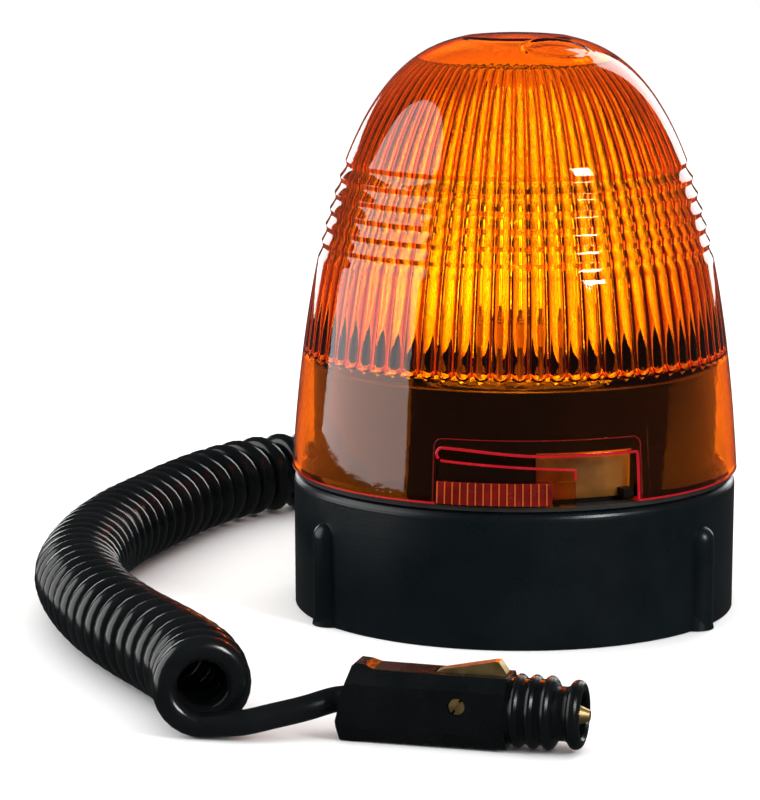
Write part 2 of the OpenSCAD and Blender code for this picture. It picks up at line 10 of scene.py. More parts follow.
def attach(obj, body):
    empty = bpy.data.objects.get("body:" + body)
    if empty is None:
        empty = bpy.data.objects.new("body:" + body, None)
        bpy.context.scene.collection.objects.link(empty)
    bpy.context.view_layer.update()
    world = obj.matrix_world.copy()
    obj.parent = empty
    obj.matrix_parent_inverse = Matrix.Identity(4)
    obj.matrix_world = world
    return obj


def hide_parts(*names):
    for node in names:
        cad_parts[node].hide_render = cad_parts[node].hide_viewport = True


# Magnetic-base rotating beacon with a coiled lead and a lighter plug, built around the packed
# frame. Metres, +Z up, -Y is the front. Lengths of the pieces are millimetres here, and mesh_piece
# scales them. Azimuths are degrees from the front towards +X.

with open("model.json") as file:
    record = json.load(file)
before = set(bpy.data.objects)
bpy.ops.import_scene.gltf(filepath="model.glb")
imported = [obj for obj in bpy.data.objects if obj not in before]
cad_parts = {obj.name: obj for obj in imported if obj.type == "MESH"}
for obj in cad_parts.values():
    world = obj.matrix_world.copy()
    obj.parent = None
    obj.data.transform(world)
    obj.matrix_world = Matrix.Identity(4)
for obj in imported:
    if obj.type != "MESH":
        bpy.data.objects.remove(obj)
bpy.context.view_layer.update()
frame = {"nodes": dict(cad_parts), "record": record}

MM = 0.001    # metres in a millimetre
scene = bpy.context.scene


# ---------- small helpers ----------

def lerp(a, b, t):
    return a + (b - a) * t


def smooth(x, lo, hi):
    t = min(1.0, max(0.0, (x - lo) / (hi - lo)))
    return t * t * (3 - 2 * t)


def cyl(az, r, z):
    """A point at azimuth az degrees from the front, -Y, towards +X."""
    a = math.radians(az)
    return Vector((r * math.sin(a), -r * math.cos(a), z))


def spline(points, step):
    """Points a given distance apart along a smooth curve through the given points."""
    pts = [Vector(p) for p in points]
    ends = [pts[0] * 2 - pts[1], *pts, pts[-1] * 2 - pts[-2]]
    dense = []
    for i in range(1, len(ends) - 2):
        p0, p1, p2, p3 = ends[i - 1:i + 3]
        for k in range(24):
            t = k / 24
            dense.append(0.5 * (2 * p1 + (p2 - p0) * t + (2 * p0 - 5 * p1 + 4 * p2 - p3) * t * t
                                + (3 * p1 - p0 - 3 * p2 + p3) * t ** 3))
    dense.append(pts[-1])
    lengths = [0.0]
    for a, b in zip(dense, dense[1:]):
        lengths.append(lengths[-1] + (b - a).length)
    total, out, j = lengths[-1], [], 0
    count = max(2, round(total / step))
    for i in range(count + 1):
        s = total * i / count
        while j < len(dense) - 2 and lengths[j + 1] < s:
            j += 1
        span = lengths[j + 1] - lengths[j]
        out.append(dense[j].lerp(dense[j + 1], (s - lengths[j]) / span if span else 0))
    return out


def mesh_piece(name, verts, faces, body, material, slot, sharp=35):
    """A smooth-shaded piece riding on a body; edges sharper than sharp degrees stay crisp."""
    mesh = bpy.data.meshes.new(name)
    mesh.from_pydata([tuple(c * MM for c in v) for v in verts], [], faces)
    bm = bmesh.new()
    bm.from_mesh(mesh)
    bmesh.ops.recalc_face_normals(bm, faces=bm.faces)
    bm.to_mesh(mesh)
    bm.free()
    mesh.polygons.foreach_set("use_smooth", [True] * len(mesh.polygons))
    if sharp:
        mesh.set_sharp_from_angle(angle=math.radians(sharp))
    obj = bpy.data.objects.new(name, mesh)
    scene.collection.objects.link(obj)
    mesh.materials.append(material)
    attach(obj, body)
    return obj


def tube(path, radius, sides):
    """Vertices and faces of a round, closed tube along a path, with no twist."""
    verts, faces = [], []
    tangents = [(path[min(i + 1, len(path) - 1)] - path[max(i - 1, 0)]).normalized()
                for i in range(len(path))]
    side = tangents[0].orthogonal().normalized()
    for p, t in zip(path, tangents):
        side = (side - t * side.dot(t)).normalized()
        up = t.cross(side)
        for k in range(sides):
            a = 2 * math.pi * k / sides
            verts.append(p + (side * math.cos(a) + up * math.sin(a)) * radius)
    for i in range(len(path) - 1):
        for k in range(sides):
            a, b = i * sides + k, i * sides + (k + 1) % sides
            faces.append((a, b, b + sides, a + sides))
    faces.append(tuple(range(sides - 1, -1, -1)))
    faces.append(tuple(range((len(path) - 1) * sides, len(path) * sides)))
    return verts, faces


def tube_piece(name, path, radius, sides, body, material, slot, sharp=35):
    return mesh_piece(name, *tube(path, radius, sides), body, material, slot, sharp)


def join(verts, faces, more_verts, more_faces):
    """Adds one mesh's vertices and faces to another's lists."""
    faces += [tuple(k + len(verts) for k in face) for face in more_faces]
    verts += more_verts


def loft_faces(total, ring):
    """Faces of a closed skin over total vertices that form sections of ring vertices each."""
    faces = []
    for i in range(total // ring - 1):
        for k in range(ring):
            a, b = i * ring + k, i * ring + (k + 1) % ring
            faces.append((a, b, b + ring, a + ring))
    return faces + [tuple(range(ring)), tuple(range(total - ring, total))]


# ---------- camera ----------

cam_data = bpy.data.cameras.new("camera")
CAMERA_DOWN = 9.84    # degrees below level
cam_data.lens, cam_data.sensor_width = 151.0, 36.0
cam_data.clip_start, cam_data.clip_end = 0.05, 30
camera = bpy.data.objects.new("camera", cam_data)
camera.location = (-0.04469, -1.09860, 0.25785)
camera.rotation_euler = (math.radians(90 - CAMERA_DOWN), 0, 0)
scene.collection.objects.link(camera)
scene.camera = camera


# ---------- materials ----------

class Mat:
    """A node material on one Principled shader, with a few short ways to add detail."""

    def __init__(self, name, colour, roughness, metallic=0.0, specular=0.5, **sockets):
        self.mat = bpy.data.materials.new(name)
        self.mat.use_nodes = True
        self.tree = self.mat.node_tree
        self.bsdf = self.tree.nodes["Principled BSDF"]
        self.bsdf.inputs["Base Color"].default_value = (*colour, 1)
        self.bsdf.inputs["Roughness"].default_value = roughness
        self.bsdf.inputs["Metallic"].default_value = metallic
        self.bsdf.inputs["Specular IOR Level"].default_value = specular
        for key, value in sockets.items():
            self.bsdf.inputs[key.replace("_", " ")].default_value = value
        self.colour, self.roughness = colour, roughness
        self.coord = self.node("ShaderNodeTexCoord").outputs["Object"]
        self.height = None

    def node(self, kind, **props):
        n = self.tree.nodes.new(kind)
        for key, value in props.items():
            setattr(n, key, value)
        return n

    def link(self, a, b):
        self.tree.links.new(a, b)

    def noise(self, scale, detail=4.0, stretch=None):
        """Noise over the object; stretch squeezes its grain along each axis."""
        n = self.node("ShaderNodeTexNoise")
        n.inputs["Scale"].default_value = scale
        n.inputs["Detail"].default_value = detail
        n.inputs["Roughness"].default_value = 0.55
        if stretch:
            m = self.node("ShaderNodeMapping")
            m.inputs["Scale"].default_value = stretch
            self.link(self.coord, m.inputs["Vector"])
            self.link(m.outputs["Vector"], n.inputs["Vector"])
        else:
            self.link(self.coord, n.inputs["Vector"])
        return n.outputs["Fac"]

    def ramp(self, fac, stops):
        """Maps a noise to grey levels or colours."""
        n = self.node("ShaderNodeValToRGB")
        while len(n.color_ramp.elements) < len(stops):
            n.color_ramp.elements.new(0.5)
        for e, (pos, value) in zip(n.color_ramp.elements, stops):
            e.position = pos
            e.color = (*value, 1) if isinstance(value, tuple) else (value, value, value, 1)
        self.link(fac, n.inputs["Fac"])
        return n.outputs["Color"]

    def vary_colour(self, other, scale, lo=0.35, hi=0.65, stretch=None):
        """Blends the base colour towards another along a noise."""
        out = self.ramp(self.noise(scale, stretch=stretch), [(lo, self.colour), (hi, other)])
        self.link(out, self.bsdf.inputs["Base Color"])
        return self

    def vary_rough(self, spread, scale, stretch=None):
        """Lets the roughness wander by spread to either side."""
        out = self.ramp(self.noise(scale, stretch=stretch),
                        [(0.3, max(0.02, self.roughness - spread)), (0.7, self.roughness + spread)])
        self.link(out, self.bsdf.inputs["Roughness"])
        return self

    def bump(self, scale, depth, strength, stretch=None):
        """Adds relief depth metres deep, on top of any relief before it."""
        n = self.node("ShaderNodeBump")
        n.inputs["Strength"].default_value = strength
        n.inputs["Distance"].default_value = depth
        self.link(self.noise(scale, detail=3.0, stretch=stretch), n.inputs["Height"])
        if self.height:
            self.link(self.height, n.inputs["Normal"])
        self.height = n.outputs["Normal"]
        self.link(self.height, self.bsdf.inputs["Normal"])
        return self


base_black = Mat("base_black", (0.0013, 0.0032, 0.0044), 0.30, specular=0.36)
base_black.vary_colour((0.0028, 0.0052, 0.0064), 45).vary_rough(0.05, 60)
base_black.bump(2600, 0.00003, 0.5).bump(260, 0.00006, 0.5, stretch=(0.25, 0.25, 7))
drum_black = Mat("drum_black", (0.0016, 0.0013, 0.0012), 0.5, specular=0.12)
drum_black.vary_colour((0.0032, 0.0026, 0.0024), 50).vary_rough(0.05, 50).bump(2200, 0.00003, 0.5)
lead_black = Mat("lead_black", (0.0022, 0.0031, 0.0035), 0.19, specular=0.45)
lead_black.vary_colour((0.0040, 0.0050, 0.0054), 60).vary_rough(0.05, 90).bump(900, 0.00002, 0.4)
plug_black = Mat("plug_black", (0.0014, 0.0022, 0.0025), 0.26, specular=0.3)
plug_black.vary_colour((0.0026, 0.0034, 0.0037), 80).vary_rough(0.06, 120).bump(3000, 0.00003, 0.6)
rubber_black = Mat("rubber_black", (0.010, 0.010, 0.010), 0.6, specular=0.3)
rubber_black.vary_colour((0.018, 0.017, 0.016), 70).vary_rough(0.08, 90).bump(1500, 0.00005, 0.7)
steel = Mat("steel", (0.62, 0.62, 0.60), 0.28, metallic=1)
steel.vary_colour((0.50, 0.50, 0.49), 90).vary_rough(0.08, 300, (1, 1, 0.15))
steel.bump(1800, 0.00002, 0.4)
zinc = Mat("zinc_plate", (0.60, 0.60, 0.56), 0.36, metallic=1)
zinc.vary_colour((0.70, 0.68, 0.60), 70).vary_rough(0.1, 160).bump(1200, 0.00003, 0.5)
ferrite = Mat("ferrite", (0.030, 0.030, 0.032), 0.55)
ferrite.vary_colour((0.055, 0.053, 0.052), 200).vary_rough(0.1, 300).bump(2500, 0.00006, 0.8)
brass = Mat("brass", (0.80, 0.58, 0.26), 0.42, metallic=1)
brass.vary_colour((0.62, 0.42, 0.17), 180).vary_rough(0.1, 260).bump(1800, 0.00003, 0.5)
copper = Mat("copper", (0.72, 0.36, 0.20), 0.32, metallic=1)
copper.vary_colour((0.55, 0.26, 0.14), 300, stretch=(1, 1, 6))
copper.bump(2400, 0.00008, 0.8, stretch=(1, 1, 5))
nylon = Mat("gear_nylon", (0.012, 0.012, 0.013), 0.42, specular=0.4)
nylon.vary_colour((0.020, 0.020, 0.021), 60).vary_rough(0.06, 90).bump(1500, 0.00002, 0.5)
ceramic = Mat("ceramic", (0.70, 0.66, 0.58), 0.5, specular=0.4)
ceramic.vary_colour((0.60, 0.55, 0.47), 120).vary_rough(0.08, 200).bump(1500, 0.00004, 0.6)
insulator = Mat("insulator", (0.16, 0.075, 0.032), 0.4)
insulator.vary_colour((0.22, 0.11, 0.05), 150).vary_rough(0.08, 200).bump(1600, 0.00003, 0.6)
wire_red = Mat("wire_red", (0.45, 0.02, 0.015), 0.38)
wire_red.vary_colour((0.36, 0.015, 0.012), 200).vary_rough(0.06, 200).bump(1500, 0.00002, 0.4)
wire_black = Mat("wire_black", (0.012, 0.012, 0.013), 0.4)
wire_black.vary_colour((0.02, 0.02, 0.02), 200).vary_rough(0.06, 200).bump(1500, 0.00002, 0.4)
mirror = Mat("mirror_metal", (0.93, 0.90, 0.84), 0.14, metallic=1)
mirror.vary_colour((0.70, 0.62, 0.52), 70).vary_rough(0.04, 70).bump(190, 0.0007, 0.9)
tungsten = Mat("tungsten", (0.4, 0.38, 0.36), 0.4, metallic=1)
tungsten.vary_colour((0.5, 0.46, 0.4), 900)
tungsten.bsdf.inputs["Emission Color"].default_value = (1.0, 0.62, 0.25, 1)
tungsten.bsdf.inputs["Emission Strength"].default_value = 12.0
floor_mat = Mat("floor_white", (0.86, 0.86, 0.86), 0.6, specular=0.2)
floor_mat.vary_colour((0.88, 0.88, 0.88), 3)


def clear(name, shade, roughness, ior, bump, density=0.0, absorb=(1, 1, 1)):
    """Glass or clear plastic: bends what is seen through it, and passes the part shade of the
    lamps' light. density and absorb colour it by its thickness."""
    m = Mat(name, (1, 1, 1), roughness, Transmission_Weight=1.0, IOR=ior)
    m.bump(*bump)
    path = m.node("ShaderNodeLightPath")
    lamp = m.node("ShaderNodeBsdfTransparent")
    lamp.inputs["Color"].default_value = (shade, shade, shade, 1)
    mix = m.node("ShaderNodeMixShader")
    out = m.tree.nodes["Material Output"]
    m.link(path.outputs["Is Shadow Ray"], mix.inputs[0])
    m.link(m.bsdf.outputs[0], mix.inputs[1])
    m.link(lamp.outputs[0], mix.inputs[2])
    m.link(mix.outputs[0], out.inputs["Surface"])
    if density:
        vol = m.node("ShaderNodeVolumeAbsorption")
        vol.inputs["Color"].default_value = (*absorb, 1)
        vol.inputs["Density"].default_value = density
        m.link(vol.outputs[0], out.inputs["Volume"])
    return m


def painted_edge_glow(name, colour, strength):
    """Painted glow: emission standing in for the lamp's light that the real clear plastic pipes
    along its edges.
    """
    m = Mat(name, tuple(0.04 * c for c in colour), 0.22, Emission_Strength=strength)
    m.bsdf.inputs["Emission Color"].default_value = (*colour, 1)
    return m.vary_colour(tuple(0.1 * c for c in colour), 160).vary_rough(0.08, 200)


amber = clear("lens_amber", 0.95, 0.02, 1.5, bump=(35, 0.0002, 0.3),
              density=2000.0, absorb=(0.982, 0.868, 0.0))
amber.bump(240, 0.00005, 0.5)
# Painted glow for the lens's edges and the latch grip: emission, not a lamp, standing in for piped
# lamp light.
painted_glow_red = painted_edge_glow("lens_painted_glow_red", (0.9, 0.012, 0.03), 0.42)
painted_glow_dim = painted_edge_glow("lens_painted_glow_dim", (0.9, 0.02, 0.03), 0.11)
painted_glow_orange = painted_edge_glow("lens_painted_glow_orange", (1.0, 0.15, 0.03), 0.42)
grip_glow = painted_edge_glow("lens_grip_glow", (1.0, 0.03, 0.01), 0.045)
keeper = Mat("keeper_bronze", (0.30, 0.12, 0.02), 0.4, metallic=0.6)
keeper.vary_colour((0.10, 0.035, 0.006), 55, 0.4, 0.75).vary_rough(0.1, 120)
keeper.bump(900, 0.00005, 0.6)
bulb_clear = clear("bulb_glass", 0.96, 0.01, 1.45, bump=(200, 0.00005, 0.2))


# ---------- the lead: first stretch, coil and straight tail ----------

LEAD_D, COIL_MEAN = 7.4, 10.7      # its diameter, and the coil's radius to its middle
COIL_Z = 14.45                     # height of the coil's axis
TURNS, PER_TURN = 44.5, 28         # turns, and points along each
OPEN_PITCH, CLOSE_PITCH = 10.2, 8.05
AXIS_STEP = 0.5
lead_route = [(-50, 86.6, 22), (-54, 94, 20), (-57, 104, 15.5), (-57, 116, 12), (-54, 128, 12.5),
              (-50, 137, 15.5), (-47, 145, 20)]
coil_route = [(-42, 158), (-68, 154), (-90, 141), (-105, 121), (-116, 98), (-125, 74),
              (-134, 48), (-140, 22), (-143, -4), (-143, -30), (-138, -56), (-130, -82),
              (-119, -108), (-107, -132), (-98, -154), (-95, -174)]
tail_route = [(-84, -176.5, 5), (-75, -175, 6.6), (-66, -173, 8.3), (-58, -170.1, 10),
              (-53.5, -171.2, 10.7), (-48, -172.7, 10.7)]

# The turns lie further apart behind the base, so the phase is added up along the axis.
axis = spline([(x, y, COIL_Z) for x, y in coil_route], AXIS_STEP)
phase_of = []
phase = 0.0
for i in range(len(axis)):
    phase_of.append(phase)
    s = i / (len(axis) - 1)
    phase += AXIS_STEP / lerp(OPEN_PITCH, CLOSE_PITCH, smooth(s, 0.18, 0.34))
turn_scale = TURNS / phase_of[-1]
helix = []
j = 0
for n in range(round(TURNS * PER_TURN) + 1):
    want = n / PER_TURN
    while j < len(axis) - 2 and phase_of[j + 1] * turn_scale < want:
        j += 1
    lo, hi = phase_of[j] * turn_scale, phase_of[j + 1] * turn_scale
    t = min(1.0, (want - lo) / (hi - lo))
    centre = axis[j].lerp(axis[j + 1], t)
    along = (axis[min(j + 2, len(axis) - 1)] - axis[max(j - 1, 0)]).normalized()
    up = Vector((0, 0, 1))
    out = along.cross(up).normalized()
    a = 2 * math.pi * want
    helix.append(centre + (up * math.cos(a) + out * math.sin(a)) * COIL_MEAN)

lead_path = spline(lead_route + [tuple(helix[0])], 2.0)[:-1] + helix
tail_path = spline([tuple(helix[-2]), tuple(helix[-1])] + tail_route, 1.5)
cord_path = lead_path[:-1] + tail_path[1:]
cord_length = sum((b - a).length for a, b in zip(cord_path, cord_path[1:]))
lead = tube_piece("coiled_lead", cord_path, LEAD_D / 2, 18, "base", lead_black.mat, "lead_black",
                  sharp=0)
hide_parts("cord_lead", "cord_coil", "cord_tail")


# ---------- lens ----------

LENS_R, LENS_Z0, WALL = 73.8, 46.0, 3.0
LENS_TOP, INSIDE_TOP, FLAT_R = 188.8, 185.8, 16.8
# The outline is one Bezier curve from the lower edge to the rim of the nearly flat top.
OUTLINE = [(LENS_R, LENS_Z0), (65.5, 178.8), (30.5, 184.4), (FLAT_R, 187.9)]
RING_Z0, RING_PITCH, RINGS = 115.9, 5.283, 6
FLUTES, FLUTE_PITCH, FLUTE_HALF = 72, 5.0, 2.4    # number, and degrees
FLUTE_SHIFT, FLUTE_Z0, FLUTE_TOP_T = 1.5, 84.4, 0.70
PLAIN, COARSE = 288, 144           # points round a plain ring outside, and inside
LATCH = (-21.8, 30.0)              # azimuths of the latch opening
SLOT_Z, SLOT_R, CORNER_R = 61.95, 2.1, 0.6        # the slot above the tongue, and its corners
ARC_R = 72.5                       # turns azimuths into lengths along the wall
POCKET, POCKET_R = (-22.6, 30.9, 66.8), 3.0       # azimuths and top of the recess round it
POCKET_TOP_Z = 66.5
LINE_AZ = 33.0                     # a fine moulding line beside the latch
PAD = (12.3, -21.5, 12.5, 8.0, -27)               # middle, half lengths and turn of the oval


def bez(t):
    """Radius and height of the outline, from 0 at the lower edge to 1 at the top's rim."""
    a, b, c, d = (1 - t) ** 3, 3 * (1 - t) ** 2 * t, 3 * (1 - t) * t * t, t ** 3
    return tuple(a * p + b * q + c * r + d * s for p, q, r, s in zip(*OUTLINE))


def bez_dir(t):
    """Direction of the outline."""
    d = [(1 - t) ** 2 * (q - p) + 2 * (1 - t) * t * (r - q) + t * t * (s - r)
         for p, q, r, s in zip(*OUTLINE)]
    n = math.hypot(*d)
    return d[0] / n, d[1] / n


def inward(t, d):
    """A point of the outline moved d into the wall."""
    (r, z), (dr, dz) = bez(t), bez_dir(t)
    return r - d * dz, z + d * dr


def t_of_z(z, d=0.0):
    lo, hi = 0.0, 1.0
    for _ in range(40):
        mid = (lo + hi) / 2
        if (inward(mid, d) if d else bez(mid))[1] < z:
            lo = mid
        else:
            hi = mid
    return lo


def outer_r(z):
    return bez(t_of_z(z))[0]


def in_latch(az):
    return LATCH[0] < az < LATCH[1]


def slot_top(az):
    """Upper edge of the latch slot, with its rounded left end."""
    if not in_latch(az):
        return SLOT_Z
    left = math.radians(az - LATCH[0]) * ARC_R
    right = math.radians(LATCH[1] - az) * ARC_R
    z = 64.0 - 2.0 * smooth(az, -22, 6)
    if left < SLOT_R:
        z = min(z, SLOT_Z + math.sqrt(max(0, SLOT_R ** 2 - (SLOT_R - left) ** 2)))
    if right < CORNER_R:
        z -= CORNER_R - math.sqrt(max(0, CORNER_R ** 2 - (CORNER_R - right) ** 2))
    return z


def pocket_depth(az, z):
    """How far the recess around the latch lies below the lens's surface."""
    mid = (POCKET[0] + POCKET[1]) / 2
    half = math.radians(POCKET[1] - POCKET[0]) / 2 * ARC_R
    x = abs(math.radians(az - mid) * ARC_R) - (half - POCKET_R)
    y = z - (POCKET[2] - POCKET_R)
    dist = math.hypot(max(x, 0), max(y, 0)) + min(max(x, y), 0) - POCKET_R
    return 0.3 * smooth(-dist, -0.25, 0.25)


def ring_r(z):
    """Radius of the stepped rings on the outside of the lens."""
    k = (z - RING_Z0) / RING_PITCH
    if not 0 <= k <= RINGS:
        return outer_r(z)
    top = RING_Z0 + RING_PITCH * min(RINGS, math.floor(k) + 1)
    low, high = outer_r(top - RING_PITCH), outer_r(top)
    t = (top - z) / RING_PITCH
    u = max(0.0, (t - 0.36) / 0.64)
    groove = 0.38 * smooth(t, 0.05, 0.36) * (1 - smooth(u, 0.1, 1.0))
    return lerp(high, low, 0.7 * u + 0.3 * u * u) - groove


def uniform(count):
    return [-180 + 360 * i / count for i in range(count)]


def rings_mesh(rows, hole=None):
    """Vertices and faces of stacked rings, each a list of azimuths and a function of azimuth to
    (r, z). Rings of unequal count are joined by triangles. hole(i, az) leaves out faces between
    rings i and i + 1."""
    verts, faces, index = [], [], []
    for az_list, place in rows:
        index.append([(az, len(verts) + i) for i, az in enumerate(az_list)])
        for az in az_list:
            verts.append(cyl(az, *place(az)))
    for i in range(len(rows) - 1):
        a, b = index[i], index[i + 1]
        if len(a) == 1 or len(b) == 1:
            ring, tip = (a, b[0][1]) if len(b) == 1 else (b, a[0][1])
            for k in range(len(ring)):
                faces.append((ring[k][1], ring[(k + 1) % len(ring)][1], tip))
            continue
        j = k = 0
        while j < len(a) or k < len(b):
            az_a = a[j + 1][0] if j + 1 < len(a) else a[0][0] + 360
            az_b = b[k + 1][0] if k + 1 < len(b) else b[0][0] + 360
            a0, a1 = a[j % len(a)][1], a[(j + 1) % len(a)][1]
            b0, b1 = b[k % len(b)][1], b[(k + 1) % len(b)][1]
            here = (a[j][0] if j < len(a) else az_b, b[k][0] if k < len(b) else az_a)
            mid = (max(here) + min(az_a, az_b)) / 2
            if j < len(a) and k < len(b) and abs(az_a - az_b) < 1e-6:
                face = (a0, a1, b1, b0)
                j, k = j + 1, k + 1
            elif k >= len(b) or (j < len(a) and az_a < az_b):
                face = (a0, a1, b0)
                j += 1
            else:
                face = (a0, b1, b0)
                k += 1
            if not (hole and hole(i, mid)):
                faces.append(face)
    return verts, faces, index


# Round the latch the columns are closer, to follow its corners.
plain_columns = uniform(PLAIN)
latch_columns = [az for az in plain_columns if az < LATCH[0] - 3.3]
latch_columns += [LATCH[0] - 3.2, -22.9, -22.6, -22.3, LATCH[0]]
latch_columns += [-21.65, -21.45, -21.2, -20.9, -20.5, -20.1]
latch_columns += [-19.5 + 0.55 * i for i in range(90)]
latch_columns += [29.8, LATCH[1], 30.3, 30.6, 30.9, 31.2, 32.0]
latch_columns += [LINE_AZ - 0.2, LINE_AZ, LINE_AZ + 0.2, 34.0]
latch_columns += [az for az in plain_columns if az > 34.4]


def outer_place(z_or_fn):
    """Places a ring on the outside, at a height or at a height for each azimuth."""
    def place(az):
        z = z_or_fn(az) if callable(z_or_fn) else z_or_fn
        r = outer_r(z) - pocket_depth(az, z)
        if 45 < z < 88:
            r -= 0.12 * max(0.0, 1 - abs(az - LINE_AZ) / 0.2)
        return r, z
    return place


def lens_rows():
    """Outside of the lens, and the number of the ring along the top of the latch opening."""
    rows = [(latch_columns, lambda az: (LENS_R - 0.35 - pocket_depth(az, LENS_Z0), LENS_Z0))]
    for f in (0.0, 0.12, 0.3, 0.5, 0.7, 0.88, 0.97, 1.0):
        rows.append((latch_columns, outer_place(lambda az, f=f: lerp(LENS_Z0 + 0.35,
                                                                     slot_top(az), f))))
    edge = len(rows) - 1
    for f in (0.06, 0.25, 0.45, 0.65, 0.82):
        rows.append((latch_columns,
                     outer_place(lambda az, f=f: lerp(slot_top(az), POCKET_TOP_Z, f))))
    for z in (POCKET_TOP_Z, 66.7, 66.9, 67.1, 69.0):
        rows.append((latch_columns, outer_place(z)))
    for z in (74, 80, 88.5):
        rows.append((plain_columns, outer_place(z)))
    for z in (94, 100, 106, 111, 114.5):
        rows.append((plain_columns, lambda az, z=z: (outer_r(z), z)))
    heights = [RING_Z0]
    for i in range(RINGS):
        low, top = RING_Z0 + i * RING_PITCH, RING_Z0 + (i + 1) * RING_PITCH
        for f in (0.985, 0.8, 0.6, 0.42, 0.36, 0.3, 0.03):
            heights.append(lerp(top, low, f))
        heights.append(top)
    for z in sorted(heights):
        rows.append((plain_columns, lambda az, z=z: (ring_r(z), z)))
    t0 = t_of_z(RING_Z0 + RINGS * RING_PITCH)
    for i in range(1, 41):
        t = lerp(t0, 1.0, i / 40)
        rows.append((plain_columns, lambda az, t=t: (bez(t)[0], bez(t)[1] + pad(az, bez(t)[0]))))
    for i in range(1, 22):
        r = FLAT_R * (1 - i / 22)
        rows.append((plain_columns if r > 6 else uniform(FLUTES),
                     lambda az, r=r: (r, LENS_TOP - 0.9 * (r / FLAT_R) ** 2.2 + pad(az, r))))
    rows.append(([0.0], lambda az: (0.0, LENS_TOP)))
    return rows, edge


def pad(az, r):
    """Height of the plain oval pad on the dome's top, with its raised border."""
    p = cyl(az, r, 0)
    x, y = p.x - PAD[0], p.y - PAD[1]
    turn = math.radians(PAD[4])
    x, y = x * math.cos(turn) - y * math.sin(turn), x * math.sin(turn) + y * math.cos(turn)
    e = math.hypot(x / PAD[2], y / PAD[3])
    inner = math.hypot(x / (PAD[2] - 1.6), y / (PAD[3] - 2.0))
    return 0.4 * smooth(-e, -1.04, -0.96) - 0.25 * smooth(-inner, -1.04, -0.96)


def flute_columns(squeeze):
    """Azimuths across every flute; squeeze narrows each towards its middle."""
    out = []
    for k in range(FLUTES):
        centre = -180 + FLUTE_SHIFT + FLUTE_PITCH * k + FLUTE_PITCH / 2
        out += [centre - FLUTE_HALF * squeeze * math.cos(math.pi * i / 8) for i in range(9)]
    return out


def flute_row(t, cap):
    """A ring of the fluted inside: cap is 0 on the straight part and 1 at a flute's tip."""
    squeeze = math.sqrt(max(0.0, 1 - cap * cap))

    def place(az):
        r0, z0 = inward(t, WALL)
        u = ((az + 180 - FLUTE_SHIFT) % FLUTE_PITCH - FLUTE_PITCH / 2) / FLUTE_HALF
        half = math.radians(FLUTE_HALF) * r0
        rib = round((az + 180 - FLUTE_SHIFT) / FLUTE_PITCH - 0.5)
        uneven = 1 + 0.16 * noise(Vector((rib * 1.7, z0 * 0.11, 3.1)))
        depth = 0.62 * uneven * half * math.sqrt(max(0.0, 1 - u * u - cap * cap))
        return inward(t, WALL + depth)
    return flute_columns(squeeze), place


def inner_place(z_or_fn):
    def place(az):
        z = z_or_fn(az) if callable(z_or_fn) else z_or_fn
        return outer_r(z) - WALL, z
    return place


def inner_rows():
    """Inside of the lens from its lower edge up to the middle of the top."""
    rows = [(latch_columns, inner_place(LENS_Z0))]
    for f in (0.3, 0.7, 1.0):
        rows.append((latch_columns, inner_place(lambda az, f=f: lerp(LENS_Z0, slot_top(az), f))))
    edge = len(rows) - 1
    for z in (POCKET_TOP_Z, 70.0):
        rows.append((latch_columns, inner_place(z)))
    for z in (77.0, 82.5):
        rows.append((uniform(COARSE), inner_place(z)))
    rows.append((uniform(FLUTES * 4), inner_place(FLUTE_Z0 - 0.25)))
    t_low, t_cap = t_of_z(FLUTE_Z0, WALL), t_of_z(FLUTE_Z0 + 2.9, WALL)
    for cap in (0.985, 0.92, 0.8, 0.62, 0.42, 0.2):
        rows.append(flute_row(lerp(t_cap, t_low, cap), cap))
    for i in range(45):
        rows.append(flute_row(lerp(t_cap, FLUTE_TOP_T, i / 44), 0.0))
    for cap in (0.3, 0.6, 0.85, 0.985):
        rows.append(flute_row(FLUTE_TOP_T + 0.012 * cap, cap))
    for t in (FLUTE_TOP_T + 0.014, 0.76, 0.83, 0.9, 0.95, 0.985):
        rows.append((uniform(COARSE), lambda az, t=t: inward(t, WALL)))
    r_end, z_end = inward(0.985, WALL)
    for i in range(1, 8):
        r = r_end * (1 - i / 8)
        rows.append((uniform(FLUTES),
                     lambda az, r=r: (r, lerp(INSIDE_TOP, z_end, (r / r_end) ** 2))))
    rows.append(([0.0], lambda az: (0.0, INSIDE_TOP)))
    return rows, edge


# The outside and the inside are joined along the lower edge, and round the latch opening.
outer, outer_edge = lens_rows()
inner, inner_edge = inner_rows()
verts, faces, outside = rings_mesh(outer, lambda i, az: i < outer_edge and in_latch(az))
in_verts, in_faces, inside = rings_mesh(inner, lambda i, az: i < inner_edge and in_latch(az))
shift = len(verts)
join(verts, faces, in_verts, in_faces)
columns = [az for az, vertex in outside[0]]
count = len(columns)
for k in range(count):
    after = (k + 1) % count
    az_next = columns[after] + (360 if after == 0 else 0)
    hole = in_latch((columns[k] + az_next) / 2)
    out_row, in_row = outside[outer_edge if hole else 0], inside[inner_edge if hole else 0]
    faces.append((out_row[k][1], out_row[after][1], in_row[after][1] + shift, in_row[k][1] + shift))
for az in LATCH:
    k = min(range(count), key=lambda n: abs(columns[n] - az))
    left = [outside[n][k][1] for n in range(outer_edge + 1)]
    right = [inside[n][k][1] + shift for n in range(inner_edge + 1)]
    faces.append(tuple(left + right[::-1]))
lens = mesh_piece("lens_shell", verts, faces, "lens", amber.mat, "lens_amber", sharp=50)
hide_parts("lens")


# ---------- latch tongue ----------

TONGUE_AZ, GRIP_TOP, GRIP_AZ = 12.9, 53.7, 7.2    # its end, and the end of its finger grip
GRIP_RIBS, GRIP_PITCH = 16, 1.92


